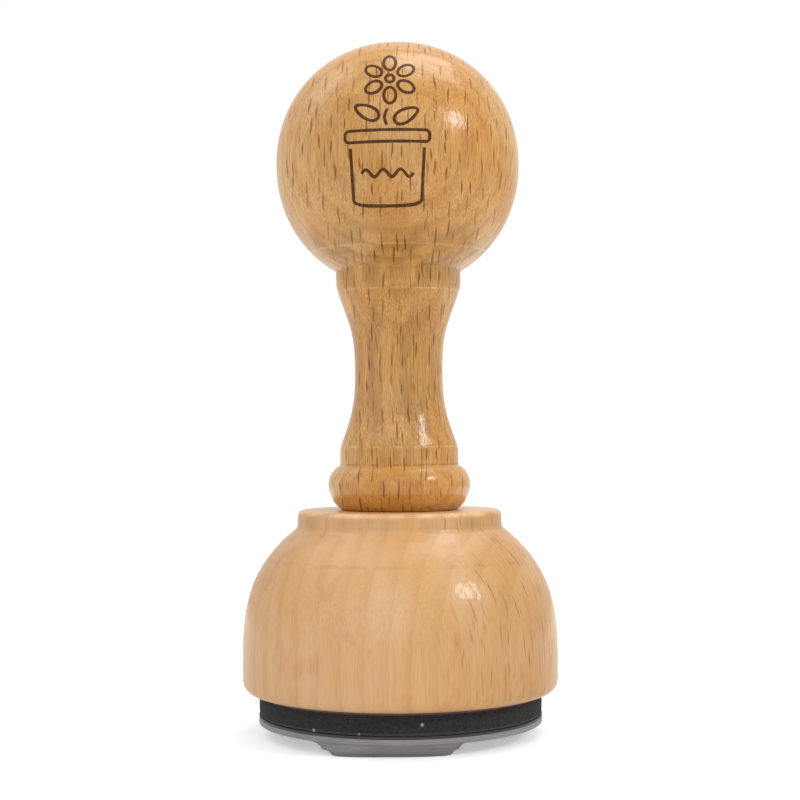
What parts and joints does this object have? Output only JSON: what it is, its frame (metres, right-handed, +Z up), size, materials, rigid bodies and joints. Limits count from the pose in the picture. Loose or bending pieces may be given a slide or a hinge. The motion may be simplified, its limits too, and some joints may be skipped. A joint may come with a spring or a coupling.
{
  "type": "wooden stamp",
  "caption": "Wooden hand stamp: ball-knob handle with a waisted neck and bead on a domed base, over a round foam cushion and an engraved rubber die.",
  "frame": {"origin": "centre of the printing face, on the turned axis", "axes": "+Z up the turned axis to the ball knob, -Y towards the front, where the knob carries its drawing, +X to the right seen from the front"},
  "size_m": [0.0446, 0.0446, 0.0974],
  "materials": {
    "handle_beech": "satin lacquer over turned beech with short dark ray flecks",
    "base_beech": "satin lacquer over turned beech with fine upright grain",
    "screw_steel": "bright zinc-plated steel",
    "adhesive_film": "thin dark brown double-sided film, satin edge",
    "black_foam": "matt fine-celled black foam with cut edge",
    "grey_rubber": "matt mid-grey engraved rubber"
  },
  "bodies": {
    "stamp_body": {"handle": "handle_beech", "base": "base_beech", "fixing_screw": "screw_steel", "base_adhesive_film": "adhesive_film", "cushion_foam": "black_foam"},
    "die_body": {"die_adhesive_film": "adhesive_film", "rubber_die": "grey_rubber"}
  },
  "joints": [
    {"name": "cushion_squeeze", "type": "slide", "parent": "stamp_body", "child": "die_body", "axis": [0, 0, 1], "range_m": [0, 0.001], "stiffness_N_per_m": 40000, "springref_m": -0.00003, "deforming": ["cushion_foam"]}
  ]
}
